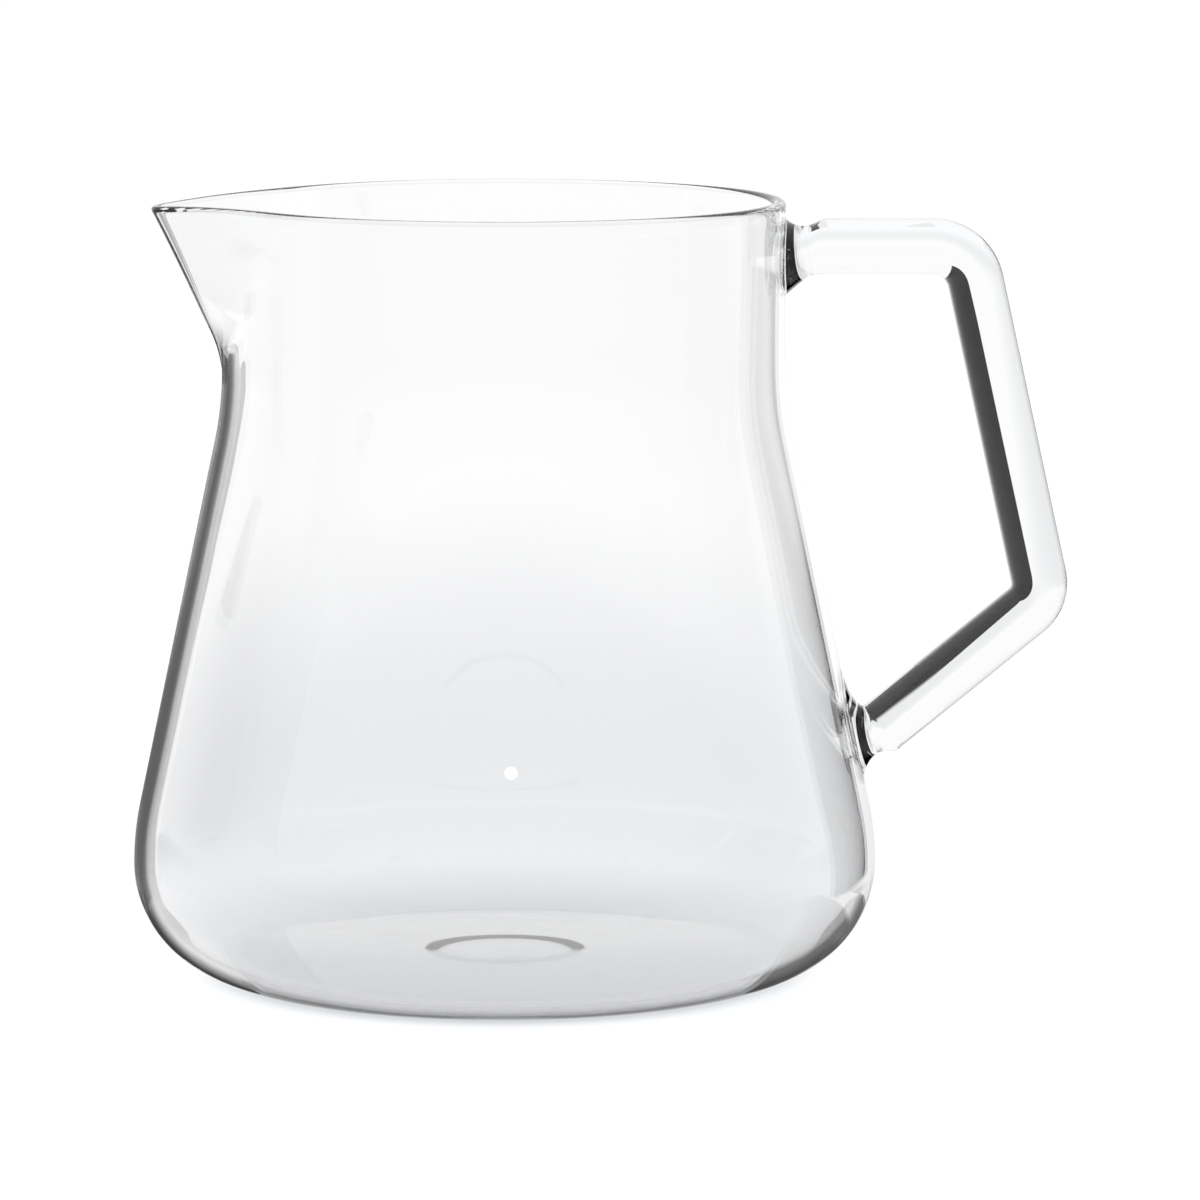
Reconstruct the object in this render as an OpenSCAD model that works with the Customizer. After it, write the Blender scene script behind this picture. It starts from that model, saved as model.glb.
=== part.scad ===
// Glass coffee server: a blown vessel with a pulled spout, a bent solid-glass
// handle fused on by two glass feet, and a small enamel level mark.
// The origin is on the table, on the axis of the vessel. +Z is up, the handle
// points to +X, the spout to -X, and the level mark faces -Y.

/* [Body] */
// Height from the table to the rim
height = 108; // [100:0.5:125]
// Outer diameter of the straight neck
neck_d = 78.2; // [70:0.1:84]
// Largest outer diameter, low on the belly
belly_d = 103.8; // [98:0.1:115]
// Height at which the sloping wall would meet the straight neck
shoulder_z = 79.8; // [70:0.1:82]
// Radius of the round heel between the base and the belly
heel_r = 15.5; // [10:0.5:20]
// Radius of the curve from the belly into the sloping wall
belly_bend = 39; // [30:1:48]
// Radius of the hollow curve from the sloping wall into the neck
waist_bend = 50; // [20:1:60]

/* [Glass thickness] */
// Thickness of the neck and the spout
neck_wall = 1.9; // [1.2:0.1:2.6]
// Thickness of the belly
belly_wall = 1.5; // [0.8:0.1:2.2]
// Thickness of the base
base_wall = 1.7; // [1.5:0.1:4]
// Width of the flat left on top of the fire-rounded rim
rim_land = 0.3; // [0.1:0.05:0.6]

/* [Base] */
// Width of the flat ring that the vessel stands on
rest_w = 2.6; // [1.5:0.1:5]
// Rise of the base at its centre above the table
push_up = 0.5; // [0.3:0.1:3]
// Diameter of the dimple in the middle of the base
dimple_d = 20.2; // [12:0.1:40]
// Depth of the dimple
dimple_depth = 0.5; // [0.2:0.05:0.8]

/* [Spout] */
// How far the lip stands out of the neck
spout_reach = 9.9; // [4:0.1:14]
// Distance from the rim down to the root of the spout
spout_depth = 21.7; // [12:0.1:24]
// Radius of the hollow curve at the root of the spout
spout_bend = 15; // [6:0.5:24]
// Outer radius of the spout's fold, seen from above
spout_nose = 5; // [2.8:0.1:6]

/* [Handle] */
// Diameter of the glass rod
rod_d = 7.8; // [6:0.1:9]
// Distance from the rim down to the middle of the top leg
handle_drop = 6.5; // [6:0.1:9]
// Distance from the vessel's axis to the upper corner of the rod
upper_corner_x = 64.4; // [58:0.1:70]
// Distance from the vessel's axis to the lower corner of the rod
lower_corner_x = 75.2; // [70:0.1:82]
// Height of the lower corner of the rod
lower_corner_z = 52.4; // [46:0.1:60]
// Height at which the middle of the rod would meet the wall
handle_foot_z = 31.3; // [28:0.1:36]
// Radius of the upper bend, at the middle of the rod
upper_bend = 6.2; // [5:0.1:10]
// Radius of the lower bend, at the middle of the rod
lower_bend = 4.8; // [4.6:0.1:8]

/* [Handle feet] */
// Length of the upper foot, from the neck to the rod
upper_foot_len = 6; // [4:0.1:8]
// Half of the height of the upper foot where it meets the neck
upper_foot_tall = 5.6; // [4.8:0.1:6.5]
// Half of the width of the upper foot where it meets the neck
upper_foot_wide = 5.6; // [4.8:0.1:8]
// How far the upper foot sags below the middle of the rod
upper_foot_sag = 1.5; // [0:0.1:2]
// Length of the lower foot, from the wall to the rod
lower_foot_len = 4.3; // [3.8:0.1:7]
// Half of the height of the lower foot where it meets the wall
lower_foot_tall = 9; // [6:0.1:10]
// Half of the width of the lower foot where it meets the wall
lower_foot_wide = 6; // [5:0.1:8]
// How far the lower foot is drawn up the wall
lower_foot_rise = 3; // [1:0.1:4]
// How far a foot draws in between its flare and the rod
foot_pinch = 0.5; // [0:0.05:0.8]

/* [Level mark] */
// Diameter of the enamel dot
dot_d = 1.8; // [1:0.1:5]
// Height of the dot above the table
dot_z = 35.5; // [28:0.1:60]
// Thickness of the enamel
dot_thick = 0.15; // [0.05:0.05:0.4]
// Angle of the dot round the vessel from the front
dot_turn = 1; // [-30:1:30]

/* [Hidden] */

// Overrun of every cut past the face that it leaves
overrun = 2;
// Depth by which the spout's sides run into the neck's round, so that they cross it cleanly
spout_sink = 0.3;
// Steps along each curve of an outline
curve_steps = 8;
// Steps up the spout, and round its fold
spout_steps = 14;
nose_steps = 8;
// Sides round the rod, and steps round each of its bends and along a foot
rod_sides = 40;
bend_steps = 10;
foot_steps = 8;
// Facets of the round shapes
round_sides = 180;

neck_r = neck_d / 2;
belly_r = belly_d / 2;
rod_r = rod_d / 2;
lip_r = (neck_wall - rim_land) / 2;
rest_r = belly_r - heel_r;
rest_inner_r = rest_r - rest_w;

// Points of a circular arc in the plane
function arc(centre, r, from, to) = [
    for (i = [0:curve_steps])
        let (a = from + (to - from) * i / curve_steps)
        centre + r * [cos(a), sin(a)]
];

// Angle from the vertical of the wall that runs from a belly curve to a neck corner
function lean_of(corner, centre, r) =
    let (d = corner - centre)
    atan2(d[1], d[0]) - acos(r / norm(d));

// Outline of one side of the vessel from the base to the straight neck
function side(neck, belly, heel, bend, waist) =
    let (
        centre = [belly - bend, heel_r],
        lean = lean_of([neck, shoulder_z], centre, bend),
        waist_z = shoulder_z + waist * tan(lean / 2)
    )
    concat(
        arc([belly - heel, heel_r], heel, -90, 0),
        arc(centre, bend, lean / curve_steps, lean),
        arc([neck + waist, waist_z], waist, 180 + lean, 180)
    );

// Height of the domed underside of the base at a radius
dome_r = (rest_inner_r * rest_inner_r + push_up * push_up) / (2 * push_up);
function dome_z(r) = sqrt(dome_r * dome_r - r * r) - (dome_r - push_up);

// Lean of the outer sloping wall, and its radius at a height
wall_lean = lean_of([neck_r, shoulder_z], [belly_r - belly_bend, heel_r], belly_bend);
function wall_radius(z) = neck_r + (shoulder_z - z) * tan(wall_lean);

// Outline of the underside from the centre out to the resting ring
dimple_r = dimple_d / 2;
underside = concat(
    [
        [0, dome_z(dimple_r) + dimple_depth],
        [dimple_r - dimple_depth, dome_z(dimple_r) + dimple_depth]
    ],
    [
        for (i = [0:curve_steps])
            let (r = dimple_r + (rest_inner_r - dimple_r) * i / curve_steps)
            [r, dome_z(r)]
    ]
);

// Outline of the vessel's outer surface, closed on the axis at the rim
outer_outline = concat(
    underside,
    side(neck_r, belly_r, heel_r, belly_bend, waist_bend),
    arc([neck_r - lip_r, height - lip_r], lip_r, 0, 90),
    [[0, height]]
);

// Outline of the hollow inside, carried on past the rim
inner_heel = heel_r - base_wall;
inner_start = belly_r - belly_wall - inner_heel;
inner_outline = concat(
    [
        for (i = [0:curve_steps - 1])
            let (r = inner_start * i / curve_steps)
            [r, base_wall + dome_z(r * rest_inner_r / inner_start)]
    ],
    side(
        neck_r - neck_wall, belly_r - belly_wall, inner_heel,
        belly_bend - belly_wall, waist_bend + neck_wall
    )
);

// Hollow curve of the rim's inner edge, which opens outwards
rim_opening = concat(
    arc([neck_r - neck_wall + lip_r, height - lip_r], lip_r, 180, 90),
    [[neck_r - neck_wall + lip_r, height + overrun], [0, height + overrun]]
);

// How far the spout's fold stands out of the neck at a height: a slope with a curved root
root_z = height - spout_depth;
spout_slope = spout_reach / spout_depth;
root_half = spout_bend * tan(atan(spout_slope) / 2);
function fold_reach(z) =
    z < root_z - root_half ? 0
    : z > root_z + root_half ? spout_slope * (z - root_z)
    : spout_slope * (z - root_z + root_half) * (z - root_z + root_half) / (4 * root_half);

// One level of the spout seen from above: two flat sides that leave the neck's round
// and meet in a rounded fold. Inset moves the whole outline inwards.
function spout_level(z, reach, inset) =
    let (
        round_r = neck_r - spout_sink,
        apex = (neck_r - spout_sink / 2 + reach - spout_nose) * round_r / (round_r - spout_nose),
        open = acos(round_r / apex),
        fold_x = apex * (1 - spout_nose / round_r)
    )
    concat(
        [[(round_r - inset) * cos(open), (round_r - inset) * sin(open), z]],
        [
            for (i = [0:nose_steps])
                let (a = open * (1 - 2 * i / nose_steps))
                [fold_x + (spout_nose - inset) * cos(a), (spout_nose - inset) * sin(a), z]
        ],
        [[(round_r - inset) * cos(open), -(round_r - inset) * sin(open), z]]
    );

// Faces of a solid given as levels with the same number of points. Each level runs
// clockwise when it is seen from the last one.
function level_faces(levels, count) = concat(
    [[for (j = [count - 1:-1:0]) j]],
    [[for (j = [0:count - 1]) (levels - 1) * count + j]],
    [
        for (i = [0:levels - 2], j = [0:count - 1])
            let (a = i * count + j, b = i * count + (j + 1) % count)
            [a, b, a + count]
    ],
    [
        for (i = [0:levels - 2], j = [0:count - 1])
            let (a = i * count + j, b = i * count + (j + 1) % count)
            [b, b + count, a + count]
    ]
);

// Solid through a list of levels
module lofted(levels) {
    count = len(levels[0]);
    points = [for (level = levels, p = level) p];
    polyhedron(points, level_faces(len(levels), count), convexity = 4);
}

// Heights up the spout, from its root to just under the rim's round
spout_heights = [
    for (i = [0:spout_steps])
        root_z - root_half + (height - lip_r - root_z + root_half) * i / spout_steps
];

// Solid that fills the outside of the spout
module spout_outside() {
    lofted(concat(
        [for (z = spout_heights) spout_level(z, fold_reach(z), 0)],
        [
            for (i = [1:curve_steps])
                let (a = 90 * i / curve_steps, z = height - lip_r + lip_r * sin(a))
                spout_level(z, fold_reach(z), lip_r * (1 - cos(a)))
        ]
    ));
}

// Space inside the spout, carried on past the rim
module spout_inside() {
    lofted(concat(
        [for (z = spout_heights) spout_level(z, fold_reach(z), neck_wall)],
        [
            for (i = [1:curve_steps])
                let (a = 90 * i / curve_steps, z = height - lip_r + lip_r * sin(a))
                spout_level(z, fold_reach(z), neck_wall - lip_r * (1 - cos(a)))
        ],
        [spout_level(height + overrun, fold_reach(height), neck_wall - lip_r)]
    ));
}

// The vessel's outer shape without its spout, as a full solid
module vessel_outside() {
    rotate_extrude($fn = round_sides) polygon(outer_outline);
}

// Blown vessel: base, belly, neck, rim and spout in one piece of glass
module glass_body() {
    color([0.86, 0.9, 0.92, 0.45])
        difference() {
            union() {
                vessel_outside();
                rotate([0, 0, 180]) spout_outside();
            }
            rotate_extrude($fn = round_sides) polygon(concat(inner_outline, rim_opening));
            rotate([0, 0, 180]) spout_inside();
        }
}

// Corners of the rod's middle line in the plane of the handle, as [distance from axis, height]
rod_z = height - handle_drop;
upper_corner = [upper_corner_x, rod_z];
lower_corner = [lower_corner_x, lower_corner_z];
wall_point = [wall_radius(handle_foot_z), handle_foot_z];
low_dir = (lower_corner - wall_point) / norm(lower_corner - wall_point);
rod_start = [neck_r + upper_foot_len, rod_z];
rod_end = wall_point + low_dir * lower_foot_len;

// Heading of the line between two points, and the unit vectors along a heading and to its left
function heading(a, b) = atan2(b[1] - a[1], b[0] - a[0]);
function ahead(h) = [cos(h), sin(h)];
function left(h) = [-sin(h), cos(h)];

// Oval cross-section at a point of the plane, square to a heading
function oval_level(p, h, tall, wide) = [
    for (j = [0:rod_sides - 1])
        let (a = -360 * j / rod_sides, q = p + left(h) * tall * cos(a))
        [q[0], q[1], wide * sin(a)]
];
function rod_level(p, h) = oval_level(p, h, rod_r, rod_r);

// Cross-sections round a bend to the right, between two headings that meet in a corner
function bend_levels(corner, from, to, r) =
    let (
        start = corner - ahead(from) * r * tan((from - to) / 2),
        centre = start - left(from) * r
    )
    [
        for (i = [0:bend_steps])
            let (h = from + (to - from) * i / bend_steps)
            rod_level(centre + left(h) * r, h)
    ];

leg_heading = heading(upper_corner, lower_corner);
low_heading = heading(lower_corner, rod_end);

// Solid glass rod bent twice, between the two feet
module handle() {
    color([0.9, 0.93, 0.94, 0.6])
        rotate([90, 0, 0])
            lofted(concat(
                [rod_level(rod_start, 0)],
                bend_levels(upper_corner, 0, leg_heading, upper_bend),
                bend_levels(lower_corner, leg_heading, low_heading, lower_bend),
                [rod_level(rod_end, low_heading)]
            ));
}

// One cross-section of a foot, from the rod's round at share 0 to the flared oval on the
// wall at share 1. The middle line leaves along the rod and eases over to the wall's point.
function foot_level(share, from, h_from, to, h_to, tall, wide) =
    let (
        run = ((to - from) * ahead(h_from)) * ahead(h_from),
        ease = share * share * (3 - 2 * share),
        flare = pow(share, 4),
        pinch = foot_pinch * pow(sin(180 * share), 2)
    )
    oval_level(
        from + run * share + (to - from - run) * ease,
        h_from + (h_to - h_from) * share,
        rod_r + (tall - rod_r) * flare - pinch,
        rod_r + (wide - rod_r) * flare - pinch
    );

// Foot of the handle, which runs on into the wall and is cut to the vessel's surface
module foot(from, h_from, to, h_to, tall, wide) {
    difference() {
        rotate([90, 0, 0])
            lofted(concat(
                [
                    for (i = [0:foot_steps])
                        foot_level(i / foot_steps, from, h_from, to, h_to, tall, wide)
                ],
                [oval_level(to + ahead(h_to) * overrun, h_to, tall, wide)]
            ));
        vessel_outside();
    }
}

// Fused glass foot between the rod's top leg and the neck
module upper_handle_foot() {
    color([0.84, 0.88, 0.88, 0.7])
        foot(
            rod_start, 180, [neck_r, rod_z - upper_foot_sag], 180,
            upper_foot_tall, upper_foot_wide
        );
}

// Fused glass foot between the rod's lower end and the sloping wall
module lower_handle_foot() {
    foot_z = handle_foot_z + lower_foot_rise;
    color([0.84, 0.88, 0.88, 0.7])
        foot(
            rod_end, low_heading, [wall_radius(foot_z), foot_z], wall_lean - 180,
            lower_foot_tall, lower_foot_wide
        );
}

// Enamel dot printed on the front of the wall
module level_dot() {
    color([0.98, 0.98, 0.97])
        rotate([0, 0, dot_turn - 90])
            translate([wall_radius(dot_z), 0, dot_z])
                rotate([0, 90 - wall_lean, 0])
                    cylinder(d = dot_d, h = dot_thick, $fn = round_sides);
}

glass_body();
handle();
upper_handle_foot();
lower_handle_foot();
level_dot();
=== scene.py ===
import math

import bmesh
import bpy
import numpy as np
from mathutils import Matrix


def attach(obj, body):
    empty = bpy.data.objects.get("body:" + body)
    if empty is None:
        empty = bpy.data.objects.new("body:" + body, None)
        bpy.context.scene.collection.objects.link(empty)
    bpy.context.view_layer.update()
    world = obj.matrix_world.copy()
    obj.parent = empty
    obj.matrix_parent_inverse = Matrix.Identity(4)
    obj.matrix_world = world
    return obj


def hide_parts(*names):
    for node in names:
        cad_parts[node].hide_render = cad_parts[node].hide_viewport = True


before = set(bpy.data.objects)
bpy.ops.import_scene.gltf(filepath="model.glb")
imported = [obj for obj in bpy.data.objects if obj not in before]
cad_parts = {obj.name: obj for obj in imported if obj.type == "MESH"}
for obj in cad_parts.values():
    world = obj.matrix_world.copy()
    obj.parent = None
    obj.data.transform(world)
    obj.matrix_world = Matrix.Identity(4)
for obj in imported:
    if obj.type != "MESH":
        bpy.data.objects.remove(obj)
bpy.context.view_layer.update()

# Lengths are in millimetres and angles in degrees, as in the part's source.
MM = 0.001

# Vessel
height = 108.0
neck_r = 39.1
belly_r = 51.87
shoulder_z = 79.8
heel_r = 15.5
belly_bend = 39.0
waist_bend = 50.0
neck_wall = 1.9
belly_wall = 1.5
base_wall = 1.7
rim_land = 0.3
lip_r = (neck_wall - rim_land) / 2

# Base
rest_w = 2.6
push_up = 0.5
dimple_r = 10.1
dimple_depth = 0.5
dimple_edge = 1.4

# Spout
spout_reach = 9.9
spout_depth = 21.7
spout_bend = 15.0
spout_nose = 5.0
lip_droop = 0.8

# Handle
rod_r = 3.9
rod_z = height - 6.5
upper_corner = np.array([64.4, rod_z])
lower_corner = np.array([75.2, 52.4])
handle_foot_z = 31.3
upper_bend = 6.2
lower_bend = 4.8

# Handle feet
upper_foot_len = 6.0
upper_foot_tall = 5.6
upper_foot_wide = 5.6
upper_foot_sag = 1.5
lower_foot_len = 4.3
lower_foot_tall = 9.0
lower_foot_wide = 6.0
lower_foot_rise = 3.0
foot_pinch = 0.5

# How the lip's droop grows with the spout's reach
droop_power = 1.5

# Mesh of the vessel: distances between the points of its outline, steps of an arc, and spans of
# angle from the handle with the number of columns in each
under_gap = 0.9
rest_gap = 1.3
heel_gap = 0.9
wall_gap = 0.75
rim_gap = 0.16
land_gap = 0.15
inner_gap = 1.2
floor_gap = 1.4
arc_steps = 48
under_points = 120
floor_points = 80
column_spans = (
    (0, 11, 16),
    (11, 138, 64),
    (138, 168, 21),
    (168, 177.4, 16),
    (177.4, 180, 29),
)

# Mesh of the feet: steps from the rod to the wall, sides, rings on the wall as shares of the
# foot's outline, steps that settle a point on the wall, and the share of a point off the foot
foot_steps = 26
foot_sides = 72
face_shares = (0.75, 0.5, 0.25)
settle_steps = 12
off_foot = 99.0

# Mesh of the rod
rod_bend_steps = 24
rod_ring_gap = 0.6
rod_sides = 96

# Photograph, with the camera's place in metres
camera_place = (0.0, -0.94569, 0.18209)
camera_pitch = 7.830
camera_yaw = 0.8086
camera_lens = 205.24
sensor_width = 36.0
clip_near = 0.01
clip_far = 100

# Finishes. Each wave has its scale, its stretch along the axes and its depth in metres.
glass_index = 1.47
glass_shade = (0.94, 0.945, 0.95)
vessel_tint = (0.996, 0.998, 1.0)
rod_tint = (0.985, 0.992, 0.988)
vessel_waves = ((40.0, (1, 1, 0.35), 0.00004), (140.0, (1, 1, 0.5), 0.000008))
rod_waves = ((70.0, (1, 1, 1), 0.00003), (260.0, (1, 1, 1), 0.000004))
enamel_index = 1.5
enamel_gloss = 0.3
enamel_tones = (0.93, 0.99)
enamel_speck = 9000
enamel_peel = 5200
enamel_peel_depth = 0.00001

# Limits of bounces. The first stands in for the glass's own absorption.
bounce_limit = 16
clear_limit = 24

# Lamp, in metres
lamp_size = (1.2, 0.9)
lamp_power = 6
lamp_place = (-0.9, -0.9, 1.4)
lamp_tilt = 42
lamp_turn = -45

# Floor, in metres: its tones, with painted shade near the object and a painted contact shadow,
# and the radii and slopes of sight over which they change
floor_reach = 8.0
floor_drop = 0.0001
floor_far = 1.0
floor_near = 0.86
# Painted bluish light near the object
floor_near_tint = (0.972, 0.978, 1.0)
# Painted shade under the vessel, seen through the glass
floor_under_shade = 0.6
floor_albedo = 0.24
floor_seen = 1.03
# Painted contact shadow round the heel, for the camera and through the glass
contact_shade = -0.35
contact_shade_in_glass = -0.1
floor_fade = (0.2, 0.62)
under_fade = (0.015, 0.085)
contact_fade = (0.037, 0.044)
steep_fade = (0.3, 0.55)
clear_fade = (0.055, 0.075)

# Cards, whose glow paints light and shade into the glass: angles from the length of the set over
# which a card goes from its tone to its pale one
card_angles = (33, 85)
heel_angles = (24, 38)
limb_angles = (28, 41)
stripe_angles = (52, 87)
steep_angles = (65, 88)
spout_angles = (55, 70)

# Cards: directions of sight, and places and heights in metres, over which their painted tones
# change
steep_slopes = (0.2, 0.27)
steep_leans = (-0.025, 0.0)
steep_mix = 0.5
beside_starts = (-0.067, -0.063)
beside_tone = 0.95
neck_starts = (0.05, 0.056)
neck_heights = (0.045, 0.07)
neck_tone = 0.55

# Veil of painted grey shade behind the vessel's side
veil_tone = 0.5
veil_cover = 0.3
veil_leans = (0.045, 0.11)
veil_heights = (0.02, 0.065)
veil_feet = (0.001, 0.012)

# Room, whose glow paints light and shade into the glass: its tones, the distances in metres over
# which they change, the turns at which its wall stands, its size, and the hole in its floor as a
# share of that
room_tone = 0.7
side_tone = 0.6
room_fronts = (-0.9, -0.3)
room_heights = (0.3, 1.6)
room_backs = (0.1, 0.8)
room_middle = (0.078, 0.3)
room_turns = range(-220, 41, 10)
room_r = 1300
room_top = 1600
room_hole = 0.06
room_wall_z = 1
room_floor_z = 0.5


# ---------------------------------------------------------------- outlines


def unit(angle):
    """Unit vector at an angle in the plane."""
    return np.array([math.cos(math.radians(angle)), math.sin(math.radians(angle))])


def arc(centre, r, start, stop, steps=arc_steps):
    """Points of a circular arc in the plane."""
    angles = np.linspace(start, stop, steps + 1)
    return [np.array(centre) + r * unit(a) for a in angles]


def lean_of(corner, centre, r):
    """Angle from the vertical of the wall that runs from a belly curve to a neck corner."""
    d = np.array(corner) - np.array(centre)
    return math.degrees(math.atan2(d[1], d[0]) - math.acos(r / np.linalg.norm(d)))


def side(neck, belly, heel, bend, waist):
    """Outline of one side of the vessel from the base to the straight neck."""
    centre = (belly - bend, heel_r)
    lean = lean_of((neck, shoulder_z), centre, bend)
    waist_z = shoulder_z + waist * math.tan(math.radians(lean / 2))
    return (
        arc((belly - heel, heel_r), heel, -90, 0)
        + arc(centre, bend, 0, lean)[1:]
        + arc((neck + waist, waist_z), waist, 180 + lean, 180)
    )


wall_lean = lean_of((neck_r, shoulder_z), (belly_r - belly_bend, heel_r), belly_bend)
wall_slope = math.tan(math.radians(wall_lean))
rest_r = belly_r - heel_r
rest_inner_r = rest_r - rest_w
dome_r = (rest_inner_r**2 + push_up**2) / (2 * push_up)


def wall_radius(z):
    """Radius of the outer sloping wall at a height."""
    return neck_r + (shoulder_z - z) * wall_slope


def dome_z(r):
    """Height of the domed underside of the base at a radius."""
    return math.sqrt(dome_r**2 - r**2) - (dome_r - push_up)


def smooth(x):
    """Soft step from 0 to 1."""
    x = np.clip(x, 0, 1)
    return x * x * (3 - 2 * x)


def under_z(r):
    """Height of the underside, with the soft edge of the dimple in its middle."""
    share = float(smooth((dimple_r - r) / dimple_edge + 0.5))
    return dome_z(r) * (1 - share) + (dome_z(dimple_r) + dimple_depth) * share


def spaced(points, gap):
    """Points along a line of points, at even distances near the gap asked for."""
    points = np.array(points)
    runs = np.concatenate([[0], np.cumsum(np.linalg.norm(np.diff(points, axis=0), axis=1))])
    count = max(2, int(round(runs[-1] / gap)) + 1)
    at = np.linspace(0, runs[-1], count)
    return np.stack([np.interp(at, runs, points[:, k]) for k in (0, 1)], axis=1)


def joined(*lines):
    """Lines end to end, without the points that they share."""
    return np.concatenate([lines[0]] + [line[1:] for line in lines[1:]])


def vessel_outline():
    """Outline of the glass from the middle of the underside, over the rim, to the inner floor."""
    underside = [(r, under_z(r)) for r in np.linspace(0, rest_inner_r, under_points)]
    outer = side(neck_r, belly_r, heel_r, belly_bend, waist_bend)
    inner_heel = heel_r - base_wall
    inner = side(
        neck_r - neck_wall,
        belly_r - belly_wall,
        inner_heel,
        belly_bend - belly_wall,
        waist_bend + neck_wall,
    )[::-1]
    floor_r = belly_r - belly_wall - inner_heel
    floor = [
        (r, base_wall + dome_z(r * rest_inner_r / floor_r))
        for r in np.linspace(floor_r, 0, floor_points)
    ]
    rim_z = height - lip_r
    outer_lip = neck_r - lip_r
    inner_lip = neck_r - neck_wall + lip_r
    return joined(
        spaced(underside, under_gap),
        spaced([(rest_inner_r, 0), (rest_r, 0)], rest_gap),
        spaced(outer[: arc_steps + 1], heel_gap),
        spaced(outer[arc_steps:] + [np.array([neck_r, rim_z])], wall_gap),
        spaced(arc((outer_lip, rim_z), lip_r, 0, 90), rim_gap),
        spaced([(outer_lip, height), (inner_lip, height)], land_gap),
        spaced(arc((inner_lip, rim_z), lip_r, 90, 180), rim_gap),
        spaced([np.array([neck_r - neck_wall, rim_z])] + inner[:-arc_steps], inner_gap),
        spaced(inner[-arc_steps - 1 :], heel_gap),
        spaced(floor, floor_gap),
    )


# ---------------------------------------------------------------- spout

root_z = height - spout_depth
spout_slope = spout_reach / spout_depth
root_half = spout_bend * math.tan(math.atan(spout_slope) / 2)


def fold_reach(z):
    """How far the spout's fold stands out of the neck at a height."""
    rise = z - root_z
    curved = spout_slope * (rise + root_half) ** 2 / (4 * root_half)
    return np.where(rise < -root_half, 0, np.where(rise > root_half, spout_slope * rise, curved))


def spout_push(turn, z, inset):
    """How far the spout moves a point of the neck outwards. The turn is from the middle of the
    fold, and the inset is the point's depth under the neck's outer surface."""
    fold_x = neck_r + fold_reach(z) - spout_nose
    opening = np.arccos(np.clip((neck_r - spout_nose) / fold_x, -1, 1))
    nose = spout_nose - inset
    nose_turn = np.arctan2(nose * np.sin(opening), fold_x + nose * np.cos(opening))
    on_nose = fold_x * np.cos(turn) + np.sqrt(
        np.maximum(nose**2 - (fold_x * np.sin(turn)) ** 2, 0)
    )
    on_side = (neck_r - inset) / np.cos(opening - turn)
    reach = np.where(turn < nose_turn, on_nose, np.where(turn < opening, on_side, neck_r - inset))
    return reach - (neck_r - inset)


# ---------------------------------------------------------------- handle feet


def left(angle):
    """Unit vector to the left of a heading."""
    return unit(angle + 90)


def heading(a, b):
    """Heading from one point of the handle's plane to another."""
    return math.degrees(math.atan2(b[1] - a[1], b[0] - a[0]))


wall_point = np.array([wall_radius(handle_foot_z), handle_foot_z])
low_heading = heading(lower_corner, wall_point)
rod_start = np.array([neck_r + upper_foot_len, rod_z])
rod_end = wall_point - unit(low_heading) * lower_foot_len
lower_foot_z = handle_foot_z + lower_foot_rise
foot_turns = np.radians(np.arange(foot_sides) * 360 / foot_sides)

FEET = {
    "upper_handle_foot": {
        "start": rod_start,
        "start_heading": 180.0,
        "end": np.array([neck_r, rod_z - upper_foot_sag]),
        "end_heading": 180.0,
        "tall": upper_foot_tall,
        "wide": upper_foot_wide,
    },
    "lower_handle_foot": {
        "start": rod_end,
        "start_heading": low_heading,
        "end": np.array([wall_radius(lower_foot_z), lower_foot_z]),
        "end_heading": wall_lean - 180.0,
        "tall": lower_foot_tall,
        "wide": lower_foot_wide,
    },
}


def vessel_radius(z):
    """Outer radius of the vessel at the heights that the feet cover."""
    return np.maximum(neck_r, wall_radius(z))


def on_wall(foot, up, across):
    """Points of the vessel's outer surface under points of a foot's end plane."""
    out = -unit(foot["end_heading"])
    rise = left(foot["end_heading"])
    x = foot["end"][0] + rise[0] * up
    z = foot["end"][1] + rise[1] * up
    for _ in range(settle_steps):
        miss = np.hypot(x, across) - vessel_radius(z)
        x = x - out[0] * miss
        z = z - out[1] * miss
    return np.stack([x, across, z], axis=-1)


def in_foot(foot, points):
    """Share of the way from the middle of a foot's outline to its edge, with the place in it."""
    rise = left(foot["end_heading"])
    up = (points[..., 0] - foot["end"][0]) * rise[0] + (points[..., 2] - foot["end"][1]) * rise[1]
    across = points[..., 1]
    share = np.hypot(up / foot["tall"], across / foot["wide"])
    return np.where(points[..., 0] > 0, share, off_foot), up, across


def wall_ring(foot, share=1.0):
    """Ring of points on the wall, at a share of the foot's outline there."""
    up = foot["tall"] * np.cos(foot_turns)
    across = foot["wide"] * np.sin(foot_turns)
    return on_wall(foot, up * share, across * share)


def foot_rings(foot):
    """Rings of points from the rod's round to the outline on the wall."""
    start, end = foot["start"], foot["end"]
    along = unit(foot["start_heading"])
    run = np.dot(end - start, along) * along
    rings = []
    for step in range(foot_steps):
        share = math.sin(math.pi / 2 * step / foot_steps)
        ease = share * share * (3 - 2 * share)
        flare = 1 - math.sqrt(max(0.0, 1 - share**2))
        pinch = foot_pinch * math.sin(math.pi * share) ** 2
        head = foot["start_heading"] + (foot["end_heading"] - foot["start_heading"]) * share
        middle = start + run * share + (end - start - run) * ease
        up = (rod_r + (foot["tall"] - rod_r) * flare - pinch) * np.cos(foot_turns)
        across = (rod_r + (foot["wide"] - rod_r) * flare - pinch) * np.sin(foot_turns)
        rise = left(head)
        ring = np.stack([middle[0] + rise[0] * up, across, middle[1] + rise[1] * up], axis=1)
        flat = np.stack([end[0] + rise[0] * up, across, end[1] + rise[1] * up], axis=1)
        rings.append(ring + (on_wall(foot, up, across) - flat) * share**4)
    rings.append(wall_ring(foot))
    return rings


# ---------------------------------------------------------------- meshes


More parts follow.
